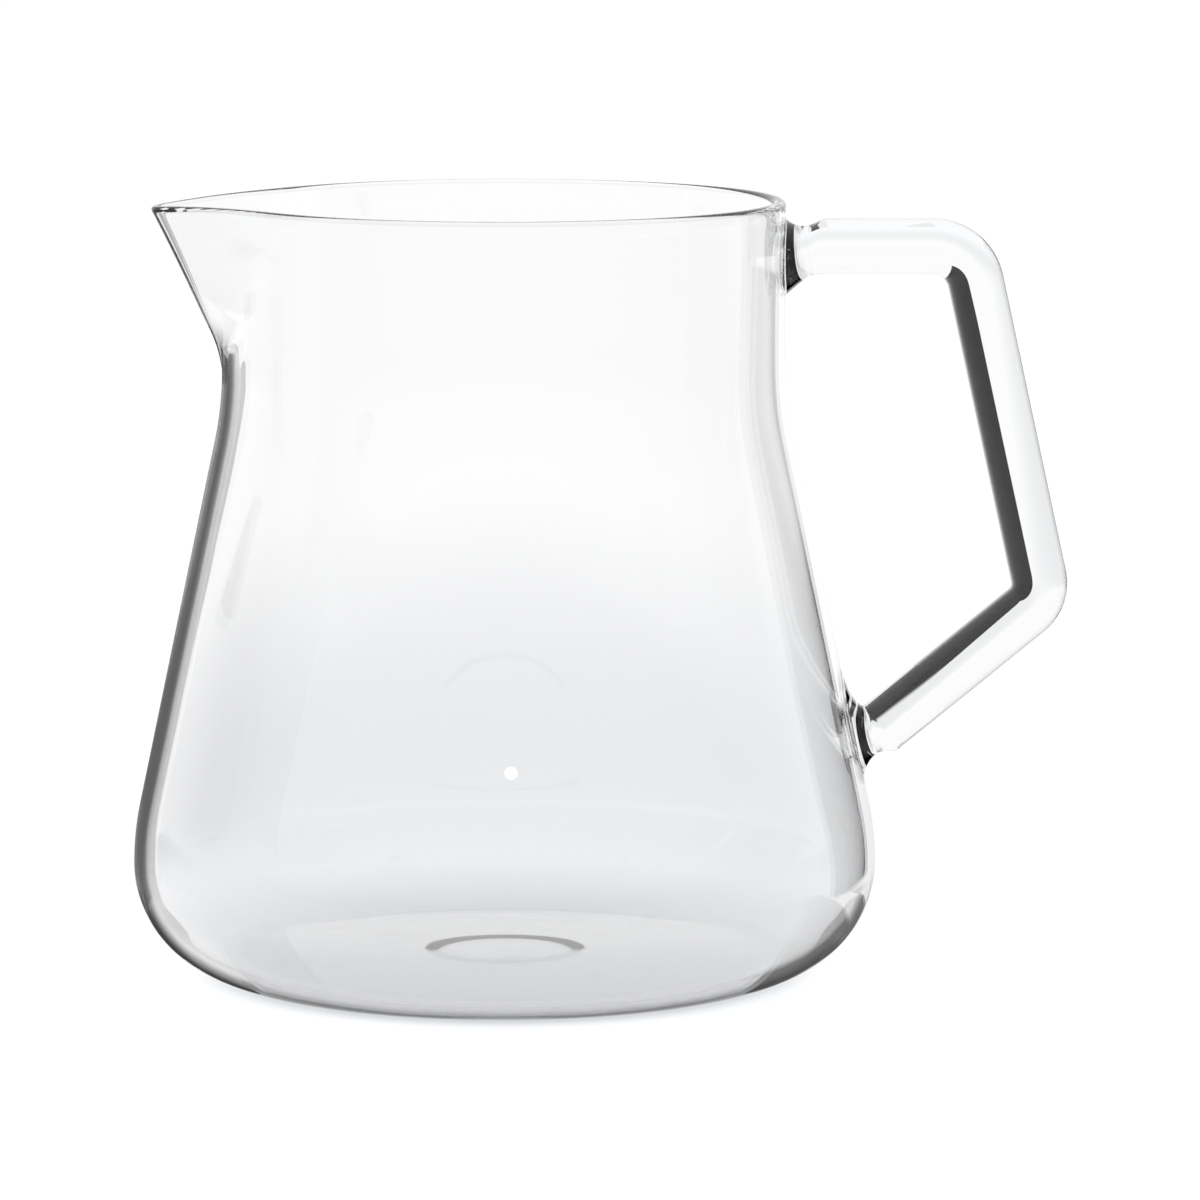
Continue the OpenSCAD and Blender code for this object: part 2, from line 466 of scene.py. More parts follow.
def piece_from(name, points, faces, materials, marks, sharp_marks=True):
    """Closed smooth object from points in millimetres. Marks give each face's material, and an
    edge between two materials is sharp where the surface turns there."""
    mesh = bpy.data.meshes.new(name)
    mesh.from_pydata([tuple(p) for p in np.asarray(points) * MM], [], faces)
    for material in materials:
        mesh.materials.append(material)
    mesh.polygons.foreach_set("material_index", np.array(marks, np.int32))
    work = bmesh.new()
    work.from_mesh(mesh)
    bmesh.ops.recalc_face_normals(work, faces=work.faces)
    for face in work.faces:
        face.smooth = True
    if sharp_marks:
        for edge in work.edges:
            kinds = {face.material_index for face in edge.link_faces}
            edge.smooth = len(kinds) < 2
    work.to_mesh(mesh)
    work.free()
    piece = bpy.data.objects.new(name, mesh)
    bpy.context.scene.collection.objects.link(piece)
    return piece


def columns():
    """Angles round the vessel, close together at the handle's feet and at the spout."""
    half = [np.linspace(low, high, count + 1)[:-1] for low, high, count in column_spans]
    half = np.concatenate(half + [[180]])
    return np.radians(np.concatenate([half, (360 - half)[1:-1][::-1]]))


def snap_to_feet(grid, rows):
    """Moves the grid's points that are next to a foot's outline onto it, so that no edge of the
    grid crosses the outline. Gives each point's share of the way to the nearest outline."""
    shares = np.full(grid.shape[:2], off_foot)
    for foot in FEET.values():
        share, up, across = in_foot(foot, grid)
        share[rows[1] :] = off_foot
        share[: rows[0]] = off_foot
        on_line = np.zeros(share.shape, bool)
        for axis in (0, 1):
            other = np.roll(share, -1, axis=axis)
            crosses = (share - 1) * (other - 1) < 0
            if axis == 0:
                crosses[-1] = False
            mine = crosses & (abs(share - 1) <= abs(other - 1))
            theirs = crosses & ~mine
            on_line |= mine | np.roll(theirs, 1, axis=axis)
        factor = 1 / share[on_line]
        grid[on_line] = on_wall(foot, up[on_line] * factor, across[on_line] * factor)
        share[on_line] = 1.0
        shares = np.minimum(shares, share)
    return shares


def vessel_grid(outline):
    """Points of the vessel in rows along its outline and columns round it. The spout is pulled
    out of the neck, and its lip drawn down."""
    angles = columns()
    r, z = outline[:, :1], outline[:, 1:]
    turn = np.abs(angles - math.pi)[None, :]
    inset = np.clip(neck_r - r, 0, neck_wall)
    push = np.where(z > root_z - root_half, spout_push(turn, z, inset), 0)
    radius = r + push
    rise = np.clip((z - root_z) / spout_depth, 0, 1)
    droop = lip_droop * np.clip(push / spout_reach, 0, 1) ** droop_power * rise**2
    return np.stack([radius * np.cos(angles), radius * np.sin(angles), z - droop], axis=-1)


def cell_parts(values):
    """Corners of a cell's faces. A cell that a foot's outline runs through is cut along it."""
    if not min(values) < 1 < max(values):
        return ((0, 1, 2, 3),)
    if values[0] == values[2] == 1:
        return (0, 1, 2), (0, 2, 3)
    return (0, 1, 3), (1, 2, 3)


def vessel_faces(shares):
    """Faces of the vessel, with a mark on those that lie in a foot's outline. The first point is
    the middle of the underside, and the last one the middle of the floor."""
    count, around = shares.shape
    last_row = 1 + (count - 1) * around
    floor_middle = 1 + count * around
    faces, marks = [], []
    for j in range(around):
        k = (j + 1) % around
        faces += [[0, 1 + k, 1 + j], [last_row + j, last_row + k, floor_middle]]
        marks += [0, 0]
    for i in range(count - 1):
        for j in range(around):
            k = (j + 1) % around
            corners = [(i, j), (i, k), (i + 1, k), (i + 1, j)]
            values = [shares[c] for c in corners]
            index = [1 + a * around + b for a, b in corners]
            for part in cell_parts(values):
                faces.append([index[n] for n in part])
                marks.append(int(min(values[n] for n in part) < 1))
    return faces, marks


def make_vessel(glass, seam):
    """Blown vessel with its spout. The wall under a foot is one glass with it, and has the
    seam's finish."""
    outline = vessel_outline()
    rows = outline[1:-1]
    grid = vessel_grid(rows)
    outer = np.flatnonzero((rows[:, 0] > rest_r) & (rows[:, 1] < height - lip_r))
    shares = snap_to_feet(grid, (outer[0], np.argmax(rows[:, 1])))
    points = [(0, 0, outline[0, 1]), *grid.reshape(-1, 3), (0, 0, outline[-1, 1])]
    faces, marks = vessel_faces(shares)
    return piece_from("vessel_glass", points, faces, [glass, seam], marks, sharp_marks=False)


def make_foot(name, glass, seam):
    """Glass foot from the rod to the wall, closed by a face on each of them."""
    foot = FEET[name]
    rings = foot_rings(foot) + [wall_ring(foot, share) for share in face_shares]
    points = [p for ring in rings for p in ring]
    points.append(on_wall(foot, np.zeros(1), np.zeros(1))[0])
    points.append(rings[0].mean(axis=0))
    tip, hub = len(points) - 2, len(points) - 1
    faces, marks = [], []
    for i in range(len(rings) - 1):
        a, b = i * foot_sides, (i + 1) * foot_sides
        for j in range(foot_sides):
            k = (j + 1) % foot_sides
            faces.append([a + j, a + k, b + k, b + j])
            marks.append(int(i >= foot_steps))
    last = (len(rings) - 1) * foot_sides
    for j in range(foot_sides):
        k = (j + 1) % foot_sides
        faces += [[last + j, last + k, tip], [k, j, hub]]
        marks += [1, 1]
    mesh_name = name.replace("handle_foot", "foot_glass")
    return piece_from(mesh_name, points, faces, [glass, seam], marks)


# ---------------------------------------------------------------- bent rod


def tree_with_inputs(name, inputs):
    """Empty geometry tree with named inputs, its input and output nodes."""
    tree = bpy.data.node_groups.new(name, "GeometryNodeTree")
    tree.interface.new_socket("Geometry", in_out="INPUT", socket_type="NodeSocketGeometry")
    for label, kind in inputs:
        tree.interface.new_socket(label, in_out="INPUT", socket_type=kind)
    tree.interface.new_socket("Geometry", in_out="OUTPUT", socket_type="NodeSocketGeometry")
    return tree, tree.nodes.new("NodeGroupInput"), tree.nodes.new("NodeGroupOutput")


def at_most(tree, value, limit):
    """Whether a whole number is at most a limit."""
    node = tree.nodes.new("FunctionNodeCompare")
    node.data_type = "INT"
    node.operation = "LESS_EQUAL"
    tree.links.new(value, node.inputs[2])
    node.inputs[3].default_value = limit
    return node.outputs[0]


def bent_line(tree, given):
    """Even line whose two corners are bent to their own radii."""
    new, link = tree.nodes.new, tree.links.new
    line = new("GeometryNodeMeshToCurve")
    index = new("GeometryNodeInputIndex")
    bend = new("GeometryNodeSwitch")
    bend.input_type = "FLOAT"
    fillet = new("GeometryNodeFilletCurve")
    fillet.mode = "POLY"
    even = new("GeometryNodeResampleCurve")
    even.mode = "LENGTH"
    link(given.outputs["Geometry"], line.inputs["Mesh"])
    link(at_most(tree, index.outputs[0], 1), bend.inputs["Switch"])
    link(given.outputs["Lower Bend"], bend.inputs["False"])
    link(given.outputs["Upper Bend"], bend.inputs["True"])
    link(line.outputs["Curve"], fillet.inputs["Curve"])
    link(bend.outputs[0], fillet.inputs["Radius"])
    link(given.outputs["Bend Steps"], fillet.inputs["Count"])
    link(fillet.outputs["Curve"], even.inputs["Curve"])
    link(given.outputs["Ring Gap"], even.inputs["Length"])
    return even.outputs["Curve"]


def rod_tree():
    """Round rod along a line with two corners, each bent to its own radius. Its sides are smooth
    glass, and its two end faces have the seam's finish."""
    tree, given, result = tree_with_inputs(
        "bent_rod",
        [
            ("Rod Radius", "NodeSocketFloat"),
            ("Upper Bend", "NodeSocketFloat"),
            ("Lower Bend", "NodeSocketFloat"),
            ("Bend Steps", "NodeSocketInt"),
            ("Ring Gap", "NodeSocketFloat"),
            ("Rod Sides", "NodeSocketInt"),
            ("Glass", "NodeSocketMaterial"),
            ("Seam", "NodeSocketMaterial"),
        ],
    )
    new, link = tree.nodes.new, tree.links.new
    ring = new("GeometryNodeCurvePrimitiveCircle")
    rod = new("GeometryNodeCurveToMesh")
    rod.inputs["Fill Caps"].default_value = True
    link(given.outputs["Rod Sides"], ring.inputs["Resolution"])
    link(given.outputs["Rod Radius"], ring.inputs["Radius"])
    link(bent_line(tree, given), rod.inputs["Curve"])
    link(ring.outputs["Curve"], rod.inputs["Profile Curve"])
    corners = new("GeometryNodeInputMeshFaceNeighbors")
    side_face = at_most(tree, corners.outputs["Vertex Count"], 4)
    end_face = new("FunctionNodeBooleanMath")
    end_face.operation = "NOT"
    link(side_face, end_face.inputs[0])
    shade = new("GeometryNodeSetShadeSmooth")
    link(rod.outputs["Mesh"], shade.inputs["Geometry"])
    link(side_face, shade.inputs["Shade Smooth"])
    real = new("GeometryNodeRealizeInstances")
    link(shade.outputs["Geometry"], real.inputs["Geometry"])
    clear = new("GeometryNodeSetMaterial")
    link(real.outputs["Geometry"], clear.inputs["Geometry"])
    link(given.outputs["Glass"], clear.inputs["Material"])
    ends = new("GeometryNodeSetMaterial")
    link(clear.outputs["Geometry"], ends.inputs["Geometry"])
    link(end_face.outputs[0], ends.inputs["Selection"])
    link(given.outputs["Seam"], ends.inputs["Material"])
    link(ends.outputs["Geometry"], result.inputs["Geometry"])
    return tree


def grown(name, base_mesh, tree, values):
    """Plain mesh object from a geometry tree on a base mesh, with the tree's inputs by name."""
    maker = bpy.data.objects.new(name + "_maker", base_mesh)
    bpy.context.scene.collection.objects.link(maker)
    modifier = maker.modifiers.new("tree", "NODES")
    modifier.node_group = tree
    for item in tree.interface.items_tree:
        if item.in_out == "INPUT" and item.name in values:
            modifier[item.identifier] = values[item.name]
    graph = bpy.context.evaluated_depsgraph_get()
    mesh = bpy.data.meshes.new_from_object(
        maker.evaluated_get(graph), preserve_all_data_layers=True, depsgraph=graph
    )
    bpy.data.objects.remove(maker)
    mesh.name = name
    piece = bpy.data.objects.new(name, mesh)
    bpy.context.scene.collection.objects.link(piece)
    return piece


def make_rod(glass, seam):
    """Solid glass rod bent twice, between the two feet."""
    line = bpy.data.meshes.new("rod_line")
    corners = [rod_start, upper_corner, lower_corner, rod_end]
    line.from_pydata([(p[0] * MM, 0, p[1] * MM) for p in corners], [(0, 1), (1, 2), (2, 3)], [])
    return grown(
        "handle_glass",
        line,
        rod_tree(),
        {
            "Rod Radius": rod_r * MM,
            "Upper Bend": upper_bend * MM,
            "Lower Bend": lower_bend * MM,
            "Bend Steps": rod_bend_steps,
            "Ring Gap": rod_ring_gap * MM,
            "Rod Sides": rod_sides,
            "Glass": glass,
            "Seam": seam,
        },
    )


# ---------------------------------------------------------------- materials


def blank(name):
    """Node material without nodes, its tree and its output."""
    material = bpy.data.materials.new(name)
    material.use_nodes = True
    tree = material.node_tree
    tree.nodes.clear()
    return material, tree, tree.nodes.new("ShaderNodeOutputMaterial")


def feed(tree, socket, value):
    """Links a socket to another one, or gives it a number."""
    if isinstance(value, bpy.types.NodeSocket):
        tree.links.new(value, socket)
    else:
        socket.default_value = value


def add_math(tree, operation, *values):
    """Math node on sockets or numbers."""
    node = tree.nodes.new("ShaderNodeMath")
    node.operation = operation
    for socket, value in zip(node.inputs, values):
        feed(tree, socket, value)
    return node.outputs[0]


def noise(tree, scale, stretch=(1, 1, 1), detail=2.0):
    """Noise on the object's own coordinates."""
    place = tree.nodes.new("ShaderNodeTexCoord")
    mapping = tree.nodes.new("ShaderNodeMapping")
    mapping.inputs["Scale"].default_value = stretch
    texture = tree.nodes.new("ShaderNodeTexNoise")
    texture.inputs["Scale"].default_value = scale
    texture.inputs["Detail"].default_value = detail
    tree.links.new(place.outputs["Object"], mapping.inputs["Vector"])
    tree.links.new(mapping.outputs["Vector"], texture.inputs["Vector"])
    return texture.outputs["Fac"]


def bumped(tree, height_socket, depth, before=None):
    """Bump node from a height, over an earlier one if there is one."""
    bump = tree.nodes.new("ShaderNodeBump")
    bump.inputs["Strength"].default_value = 1.0
    bump.inputs["Distance"].default_value = depth
    tree.links.new(height_socket, bump.inputs["Height"])
    if before is not None:
        tree.links.new(before, bump.inputs["Normal"])
    return bump.outputs["Normal"]


def lamps_pass(tree, shader, output):
    """Lets lamps and soft light through the glass, a little weaker than they came."""
    path = tree.nodes.new("ShaderNodeLightPath")
    clear = tree.nodes.new("ShaderNodeBsdfTransparent")
    clear.inputs["Color"].default_value = (*glass_shade, 1)
    mix = tree.nodes.new("ShaderNodeMixShader")
    kinds = path.outputs["Is Shadow Ray"], path.outputs["Is Diffuse Ray"]
    tree.links.new(add_math(tree, "MAXIMUM", *kinds), mix.inputs[0])
    tree.links.new(shader, mix.inputs[1])
    tree.links.new(clear.outputs[0], mix.inputs[2])
    tree.links.new(mix.outputs[0], output.inputs["Surface"])


def glass_finish(name, tint, waves):
    """Clear borosilicate glass, with the faint waves that hot working leaves in it."""
    material, tree, output = blank(name)
    normal = None
    for scale, stretch, depth in waves:
        normal = bumped(tree, noise(tree, scale, stretch, detail=1.0), depth, normal)
    glass = tree.nodes.new("ShaderNodeBsdfPrincipled")
    glass.inputs["Base Color"].default_value = (*tint, 1)
    glass.inputs["Roughness"].default_value = 0.0
    glass.inputs["IOR"].default_value = glass_index
    glass.inputs["Transmission Weight"].default_value = 1.0
    tree.links.new(normal, glass.inputs["Normal"])
    lamps_pass(tree, glass.outputs[0], output)
    return material


def seam_finish():
    """Place inside the glass where two pieces are fused: there is nothing to see."""
    material, tree, output = blank("fused_seam")
    clear = tree.nodes.new("ShaderNodeBsdfTransparent")
    tree.links.new(clear.outputs[0], output.inputs["Surface"])
    return material


def enamel_finish():
    """Fired white enamel: a dense white with a soft gloss and fine orange peel."""
    material, tree, output = blank("white_enamel_print")
    ramp = tree.nodes.new("ShaderNodeMapRange")
    ramp.inputs["To Min"].default_value, ramp.inputs["To Max"].default_value = enamel_tones
    tree.links.new(noise(tree, enamel_speck, detail=3.0), ramp.inputs["Value"])
    enamel = tree.nodes.new("ShaderNodeBsdfPrincipled")
    enamel.inputs["Roughness"].default_value = enamel_gloss
    enamel.inputs["IOR"].default_value = enamel_index
    peel = bumped(tree, noise(tree, enamel_peel), enamel_peel_depth)
    tree.links.new(ramp.outputs["Result"], enamel.inputs["Base Color"])
    tree.links.new(peel, enamel.inputs["Normal"])
    tree.links.new(enamel.outputs[0], output.inputs["Surface"])
    return material


# ---------------------------------------------------------------- tones of the studio, painted light and shade


def soft_range(tree, value, span, result):
    """Value that runs softly from one number to another over a span."""
    node = tree.nodes.new("ShaderNodeMapRange")
    node.interpolation_type = "SMOOTHSTEP"
    node.inputs["From Min"].default_value, node.inputs["From Max"].default_value = span
    node.inputs["To Min"].default_value, node.inputs["To Max"].default_value = result
    tree.links.new(value, node.inputs["Value"])
    return node.outputs["Result"]


def highest(tree, values):
    """Highest of several values."""
    top = values[0]
    for value in values[1:]:
        top = add_math(tree, "MAXIMUM", top, value)
    return top


def blend(tree, start, stop, share):
    """Value at a share of the way from one value to another."""
    way = add_math(tree, "SUBTRACT", stop, start)
    return add_math(tree, "ADD", start, add_math(tree, "MULTIPLY", way, share))


def for_camera(tree, seen, otherwise):
    """One value for what the camera sees directly, and another for all other light."""
    path = tree.nodes.new("ShaderNodeLightPath")
    mix = tree.nodes.new("ShaderNodeMix")
    tree.links.new(path.outputs["Is Camera Ray"], mix.inputs["Factor"])
    feed(tree, mix.inputs["A"], otherwise)
    feed(tree, mix.inputs["B"], seen)
    return mix.outputs["Result"]


def seen_spot(tree):
    """Place that is seen, along the object's own axes."""
    place = tree.nodes.new("ShaderNodeTexCoord")
    parts = tree.nodes.new("ShaderNodeSeparateXYZ")
    tree.links.new(place.outputs["Object"], parts.inputs[0])
    return parts.outputs


def sight(tree):
    """Direction from the place that is seen back to the eye, along the set's own axes."""
    seen_from = tree.nodes.new("ShaderNodeNewGeometry")
    turn = tree.nodes.new("ShaderNodeVectorTransform")
    turn.vector_type = "VECTOR"
    turn.convert_from, turn.convert_to = "WORLD", "OBJECT"
    parts = tree.nodes.new("ShaderNodeSeparateXYZ")
    tree.links.new(seen_from.outputs["Incoming"], turn.inputs["Vector"])
    tree.links.new(turn.outputs["Vector"], parts.inputs[0])
    return parts.outputs


def sight_start(tree, way, spot):
    """How far to the side a line of sight crosses the upright plane through the vessel's axis."""
    ratio = add_math(tree, "DIVIDE", way["X"], way["Y"])
    back = add_math(tree, "MULTIPLY", spot["Y"], ratio)
    return add_math(tree, "SUBTRACT", spot["X"], back)


def floor_tint(tree, radius):
    """Colour of the floor's glow: painted light, a little blue near the object."""
    tint = tree.nodes.new("ShaderNodeMix")
    tint.data_type = "RGBA"
    tint.inputs["A"].default_value = (*floor_near_tint, 1)
    tint.inputs["B"].default_value = (1, 1, 1, 1)
    tree.links.new(soft_range(tree, radius, floor_fade, (0, 1)), tint.inputs["Factor"])
    return tint.outputs["Result"]


def floor_tone(tree, radius):
    """Tone of the floor, with painted shade. Through the glass it dims towards the object, unless
    the eye is high, and a painted contact shadow rings the heel.
    """
    outer = soft_range(tree, radius, floor_fade, (floor_near, floor_far))
    inner = soft_range(tree, radius, under_fade, (floor_under_shade - floor_near, 0))
    contact = soft_range(tree, radius, contact_fade, (1, 0))
    seen_from = tree.nodes.new("ShaderNodeNewGeometry")
    slant = tree.nodes.new("ShaderNodeSeparateXYZ")
    tree.links.new(seen_from.outputs["Incoming"], slant.inputs[0])
    steep = soft_range(tree, slant.outputs["Z"], steep_fade, (0, 1 - floor_near))
    clear = soft_range(tree, radius, clear_fade, (0, 1))
    gain = add_math(tree, "MULTIPLY", steep, clear)
    lit = add_math(tree, "ADD", add_math(tree, "ADD", outer, inner), gain)
    lit = add_math(tree, "MINIMUM", lit, 1.0)
    plain = for_camera(tree, floor_seen, lit)
    shade = for_camera(tree, contact_shade, contact_shade_in_glass)
    return add_math(tree, "ADD", plain, add_math(tree, "MULTIPLY", contact, shade))


def painted_shade_floor():
    """Pale floor that glows, with painted shade and a painted contact shadow near the object in
    its glow, and takes a soft shadow with the rest of its tone.
    """
    material, tree, output = blank("painted_shade_floor")
    place = tree.nodes.new("ShaderNodeTexCoord")
    far = tree.nodes.new("ShaderNodeVectorMath")
    far.operation = "LENGTH"
    tree.links.new(place.outputs["Object"], far.inputs[0])
    radius = far.outputs["Value"]
    diffuse = tree.nodes.new("ShaderNodeBsdfDiffuse")
    diffuse.inputs["Color"].default_value = (floor_albedo, floor_albedo, floor_albedo, 1)
    glow = add_math(tree, "SUBTRACT", floor_tone(tree, radius), floor_albedo)
    light = tree.nodes.new("ShaderNodeEmission")
    tree.links.new(floor_tint(tree, radius), light.inputs["Color"])
    tree.links.new(glow, light.inputs["Strength"])
    both = tree.nodes.new("ShaderNodeAddShader")
    tree.links.new(diffuse.outputs[0], both.inputs[0])
    tree.links.new(light.outputs[0], both.inputs[1])
    tree.links.new(both.outputs[0], output.inputs["Surface"])
    return material


def even_light(tree, output, tone):
    """Even light of a tone, as the whole finish."""
    light = tree.nodes.new("ShaderNodeEmission")
    tree.links.new(tone, light.inputs["Strength"])
    tree.links.new(light.outputs[0], output.inputs["Surface"])


def steep_tone(tree, way):
    """Painted pale light for lines of sight that run flat, or don't lean to the side."""
    slope = soft_range(tree, way["Z"], steep_slopes, (1, 0))
    half = add_math(tree, "MULTIPLY", way["Z"], steep_mix)
    across = add_math(tree, "ADD", way["X"], half)
    lean = soft_range(tree, across, steep_leans, (0, 1))
    pale = add_math(tree, "MAXIMUM", slope, lean)
    return add_math(tree, "MULTIPLY", pale, floor_near)


def neck_shine(tree, start, spot):
    """Painted pale shine, high up, for lines of sight through the vessel's neck."""
    neck = soft_range(tree, start, neck_starts, (1, 0))
    high = soft_range(tree, spot["Z"], neck_heights, (0, neck_tone))
    return add_math(tree, "MULTIPLY", neck, high)


def painted_card_tone(name, tone, angles=card_angles, pale_tone=room_tone, steep=False, past=False):
    """Painted light and shade of a glowing card, as its tone for lines of sight along the set. It
    is paler for lines across the set, beyond the angles, and for lines that start beside the
    vessel. A steep card is dark only for lines that run down to the side. A card past the vessel
    is pale, high up, for lines that come through the neck."""
    material, tree, output = blank(name)
    way, spot = sight(tree), seen_spot(tree)
    start = sight_start(tree, way, spot)
    span = [-math.cos(math.radians(a)) for a in angles]
    tones = [soft_range(tree, way["Y"], span, (tone, max(tone, pale_tone)))]
    if steep:
        tones.append(steep_tone(tree, way))
    tones.append(soft_range(tree, start, beside_starts, (beside_tone, 0)))
    if past:
        tones.append(neck_shine(tree, start, spot))
    even_light(tree, output, highest(tree, tones))
    return material


def veil_finish():
    """Thin veil of painted grey shade that covers more, low down, where the line of sight leans
    out.
    """
    material, tree, output = blank("left_side_painted_shade")
    way, spot = sight(tree), seen_spot(tree)
    lean = soft_range(tree, way["X"], veil_leans, (0, veil_cover))
    low = soft_range(tree, spot["Z"], veil_heights, (1, 0))
    foot = soft_range(tree, spot["Z"], veil_feet, (0, 1))
    veil = add_math(tree, "MULTIPLY", add_math(tree, "MULTIPLY", lean, low), foot)
    through = tree.nodes.new("ShaderNodeBsdfTransparent")
    light = tree.nodes.new("ShaderNodeEmission")
    light.inputs["Strength"].default_value = veil_tone
    mix = tree.nodes.new("ShaderNodeMixShader")
    tree.links.new(veil, mix.inputs[0])
    tree.links.new(through.outputs[0], mix.inputs[1])
    tree.links.new(light.outputs[0], mix.inputs[2])
    tree.links.new(mix.outputs[0], output.inputs["Surface"])
    return material


def room_painted_light():
    """Painted tone of the room, from the front of the set to its side. It is paler high up and
    behind, and has the floor's tone close to the vessel."""
    material, tree, output = blank("room_painted_light")
    spot = seen_spot(tree)
    tone = soft_range(tree, spot["Y"], room_fronts, (room_tone, side_tone))
    high = soft_range(tree, spot["Z"], room_heights, (0, 1))
    behind = soft_range(tree, spot["Y"], room_backs, (0, 1))
    tone = blend(tree, tone, 1.0, highest(tree, (high, behind)))
    across = add_math(tree, "MULTIPLY", spot["X"], spot["X"])
    along = add_math(tree, "MULTIPLY", spot["Y"], spot["Y"])
    radius = add_math(tree, "SQRT", add_math(tree, "ADD", across, along))
    near = soft_range(tree, radius, room_middle, (1, 0))
    even_light(tree, output, blend(tree, tone, floor_near, near))
    return material


# ---------------------------------------------------------------- studio


def make_world():
    """Even white studio light."""
    world = bpy.data.worlds.new("studio")
    world.use_nodes = True
    background = world.node_tree.nodes["Background"]
    background.inputs["Color"].default_value = (1, 1, 1, 1)
    background.inputs["Strength"].default_value = 1.0
    bpy.context.scene.world = world


def stage_piece(name, points, faces, material):
    """Piece of the stage, from points in metres."""
    mesh = bpy.data.meshes.new(name)
    mesh.from_pydata(points, [], faces)
    mesh.materials.append(material)
    piece = bpy.data.objects.new(name, mesh)
    bpy.context.scene.collection.objects.link(piece)
    return piece


def make_floor():
    """Pale floor, with painted shade near the object."""
    far, z = floor_reach, -floor_drop
    corners = [(-far, -far, z), (far, -far, z), (far, far, z), (-far, far, z)]
    stage_piece("floor", corners, [(0, 1, 2, 3)], painted_shade_floor())


def make_turning_set(camera):
    """Upright axis in the object, which turns with the camera as it goes round."""
    turning = bpy.data.objects.new("turning_set", None)
    bpy.context.scene.collection.objects.link(turning)
    follow = turning.constraints.new("COPY_ROTATION")
    follow.target = camera
    follow.use_x = follow.use_y = False
    return turning


def make_card(name, finish, near, far, turning):
    """Glowing card between two lines of points, in millimetres, that only glass sees, and that
    paints light and shade into it.
    """
    points = [tuple(c * MM for c in p) for p in near + far]
    count = len(near)
    faces = [(i, i + 1, count + i + 1, count + i) for i in range(count - 1)]
    card = stage_piece(name, points, faces, finish)
    card.visible_camera = False
    card.visible_diffuse = False
    card.visible_shadow = False
    card.parent = turning


def limb_radius(z):
    """Radius of the vessel's silhouette at a height."""
    return min(belly_r, max(neck_r, wall_radius(max(z, heel_r))))


def make_right_cards(turning):
    """Dark glowing card beside the handle, and a dark card strip on the floor in front of it.
    They paint the shade of the vessel's right edge and of the stripe in the handle."""
    black = 0.012
    near_y = 5
    edge_line = [
        (88, 66, 0.5),
        (90, 72, 16),
        (92, 81, 29),
        (92.7, 88.7, 45),
        (90.4, 88.4, 55),
        (88, 87.5, 66),
        (85.1, 84, 76),
        (81.7, 78.2, 86),
        (80, 75, 112),
    ]
    make_card(
        "right_card",
        painted_card_tone("dark_card_painted_shade", black, stripe_angles, past=True),
        [(x, near_y, z) for x, y, z in edge_line],
        edge_line,
        turning,
    )
    strip_far, strip_z = 120, 0.6
    strip_line = [(76, 25), (71, 45), (67, 85), (64, 125), (64, 150)]
    make_card(
        "right_floor_card",
        painted_card_tone("steep_card_painted_shade", black, steep_angles, steep=True),
        [(x, y, strip_z) for x, y in strip_line],
        [(strip_far, y, strip_z) for x, y in strip_line],
        turning,
    )


def make_limb_cards(turning):
    """Glowing cards beside the vessel's left edge and the spout's fold, which paint the shade of
    their dark lines.
    """
    card_y, gap, rise = 20, 2.6, 3
    for name, finish, reach, heights in (
        (
            "left_near_card",
            painted_card_tone("left_near_painted_shade", 0.12, limb_angles, pale_tone=0.92),
            26,
            (0.9, 5, 10, 15, 20, 30, 40, 50, 60, 70, 80, 84),
        ),
        (
            "left_spout_card",
            painted_card_tone("left_spout_painted_shade", 0.45, spout_angles, pale_tone=1.0),
            50,
            (88, 92, 96, 100, 105),
        ),
    ):
        limb = [-limb_radius(z + rise) - float(fold_reach(z + rise)) for z in heights]
        near = [(x - gap, card_y, z) for x, z in zip(limb, heights)]
        far = [(x - reach, card_y, z) for x, z in zip(limb, heights)]
        make_card(name, finish, near, far, turning)


def make_back_cards(turning):
    """Grey glowing cards behind the vessel's left side, which paint grey shade into it, one
    beside the other by their angle as the vessel's edge sees them, and a veil next to them."""
    card_y, rise = 60, 10
    heights = (0.5, 10, 20, 30, 40, 50, 60, 70, 80)
    strips = ((9, 13, 0.95), (13, 17, 0.88), (17, 48, 0.74))

    def card_line(shift):
        """Upright line of points at a distance to the right of the vessel's edge."""
        return [(-limb_radius(z + rise) + shift, card_y, z) for z in heights]

    def shift_at(angle):
        """Distance to the right at an angle to the left, as the edge sees it."""
        return -card_y * math.tan(math.radians(angle))

    for number, (near_angle, far_angle, tone) in enumerate(strips):
        make_card(
            "left_card_%d" % number,
            painted_card_tone("left_card_finish_%d" % number, tone),
            card_line(shift_at(near_angle)),
            card_line(shift_at(far_angle)),
            turning,
        )
    veil_inside = 16
    veil_outside = shift_at(strips[0][0])
    make_card(
        "left_side_card", veil_finish(), card_line(veil_inside), card_line(veil_outside), turning
    )


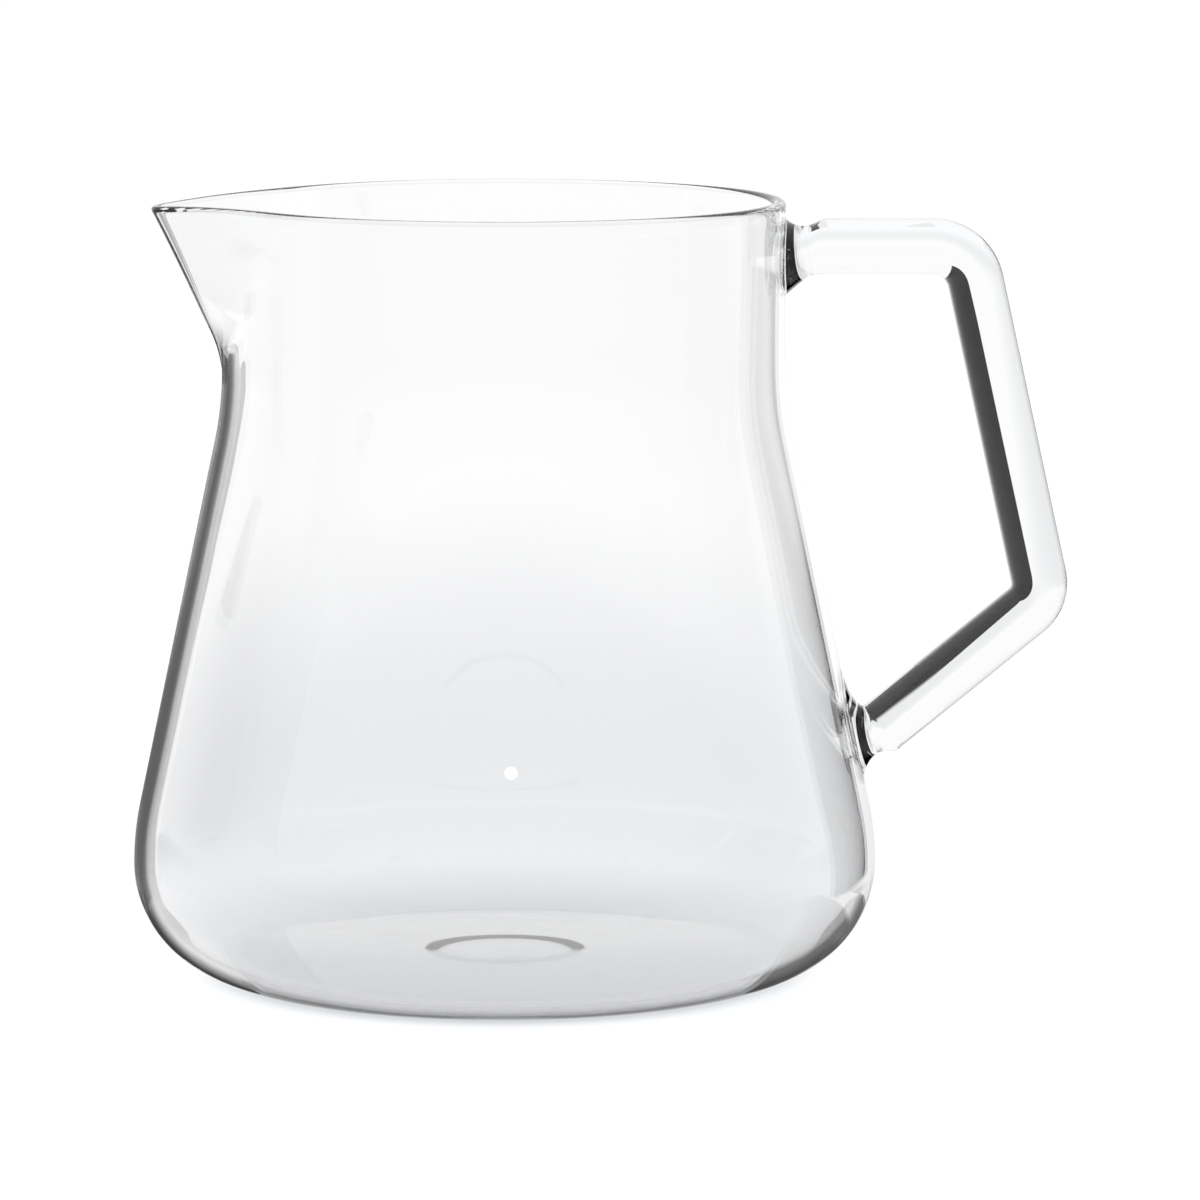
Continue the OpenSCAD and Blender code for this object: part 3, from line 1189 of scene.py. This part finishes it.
def make_heel_cards(turning):
    """Dark glowing cards low round the vessel, which paint the shade at the edge of its heel.
    Each row of the line has the card's near edge, its place along the set and its far edge."""
    card_z = 0.8
    heel_line = [
        (33, -26, 50),
        (37.5, -19, 70),
        (43, -11, 100),
        (45.5, -5, 110),
        (46.5, 0, 110),
        (47, 5, 110),
        (49, 12, 110),
        (52.5, 20, 110),
        (57.5, 30, 110),
        (61.5, 40, 110),
        (69.5, 60, 110),
    ]
    front = heel_line[:6]
    bend_y, behind_far = 15, 70
    limb = [(x, y, out if y < bend_y else behind_far) for x, y, out in heel_line[5:-2]]
    left_heel = painted_card_tone("left_heel_painted_shade", 0.1, heel_angles, pale_tone=0.85)
    right_heel = painted_card_tone("right_heel_painted_shade", 0.17)
    right_limb = painted_card_tone("right_limb_painted_shade", 0.13, heel_angles, pale_tone=0.85)
    for name, finish, rows, hand in (
        ("left_heel_card", left_heel, heel_line, -1),
        ("right_heel_card", right_heel, front, 1),
        ("right_limb_card", right_limb, limb, 1),
    ):
        near = [(hand * x, y, card_z) for x, y, out in rows]
        far = [(hand * out, y, card_z) for x, y, out in rows]
        make_card(name, finish, near, far, turning)


def make_room(turning):
    """Pale glowing room round the set, open to the back, which paints light and shade into the
    glass, and its floor with a hole for the vessel.
    """
    room = room_painted_light()
    turns = [math.radians(a) for a in room_turns]
    wall_line = [(room_r * math.cos(a), room_r * math.sin(a)) for a in turns]
    make_card(
        "room_wall",
        room,
        [(x, y, room_wall_z) for x, y in wall_line],
        [(x, y, room_top) for x, y in wall_line],
        turning,
    )
    make_card(
        "room_floor",
        room,
        [(x, y, room_floor_z) for x, y in wall_line],
        [(x * room_hole, y * room_hole, room_floor_z) for x, y in wall_line],
        turning,
    )


def make_camera():
    """Camera of the photograph."""
    data = bpy.data.cameras.new("camera")
    data.sensor_width = sensor_width
    data.lens = camera_lens
    data.clip_start = clip_near
    data.clip_end = clip_far
    camera = bpy.data.objects.new("camera", data)
    camera.location = camera_place
    camera.rotation_euler = (
        math.radians(90 - camera_pitch),
        0,
        math.radians(-camera_yaw),
    )
    bpy.context.scene.collection.objects.link(camera)
    bpy.context.scene.camera = camera
    bpy.context.view_layer.update()
    return camera


def make_softbox():
    """Large soft lamp over the left shoulder of the camera."""
    data = bpy.data.lights.new("softbox", "AREA")
    data.shape = "RECTANGLE"
    data.size, data.size_y = lamp_size
    data.energy = lamp_power
    lamp = bpy.data.objects.new("softbox", data)
    lamp.location = lamp_place
    lamp.rotation_euler = (math.radians(lamp_tilt), 0, math.radians(lamp_turn))
    lamp.visible_glossy = False
    lamp.visible_transmission = False
    bpy.context.scene.collection.objects.link(lamp)


# ---------------------------------------------------------------- scene

scene = bpy.context.scene
scene.view_settings.view_transform = "Standard"
scene.cycles.max_bounces = bounce_limit
scene.cycles.transmission_bounces = bounce_limit
scene.cycles.glossy_bounces = bounce_limit
scene.cycles.transparent_max_bounces = clear_limit

camera = make_camera()
make_world()
make_floor()
make_softbox()
turning_set = make_turning_set(camera)
make_right_cards(turning_set)
make_limb_cards(turning_set)
make_back_cards(turning_set)
make_heel_cards(turning_set)
make_room(turning_set)

vessel_glass = glass_finish("vessel_glass_finish", vessel_tint, vessel_waves)
rod_glass = glass_finish("rod_glass_finish", rod_tint, rod_waves)
foot_glass = glass_finish("foot_glass_finish", rod_tint, rod_waves)
seam = seam_finish()

vessel = make_vessel(vessel_glass, seam)
rod = make_rod(rod_glass, seam)
upper_foot = make_foot("upper_handle_foot", foot_glass, seam)
lower_foot = make_foot("lower_handle_foot", foot_glass, seam)

for piece, node in (
    (vessel, "glass_body"),
    (rod, "handle"),
    (upper_foot, "upper_handle_foot"),
    (lower_foot, "lower_handle_foot"),
):
    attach(piece, "root")
    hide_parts(node)

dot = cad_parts["level_dot"]
dot.data.materials.clear()
dot.data.materials.append(enamel_finish())
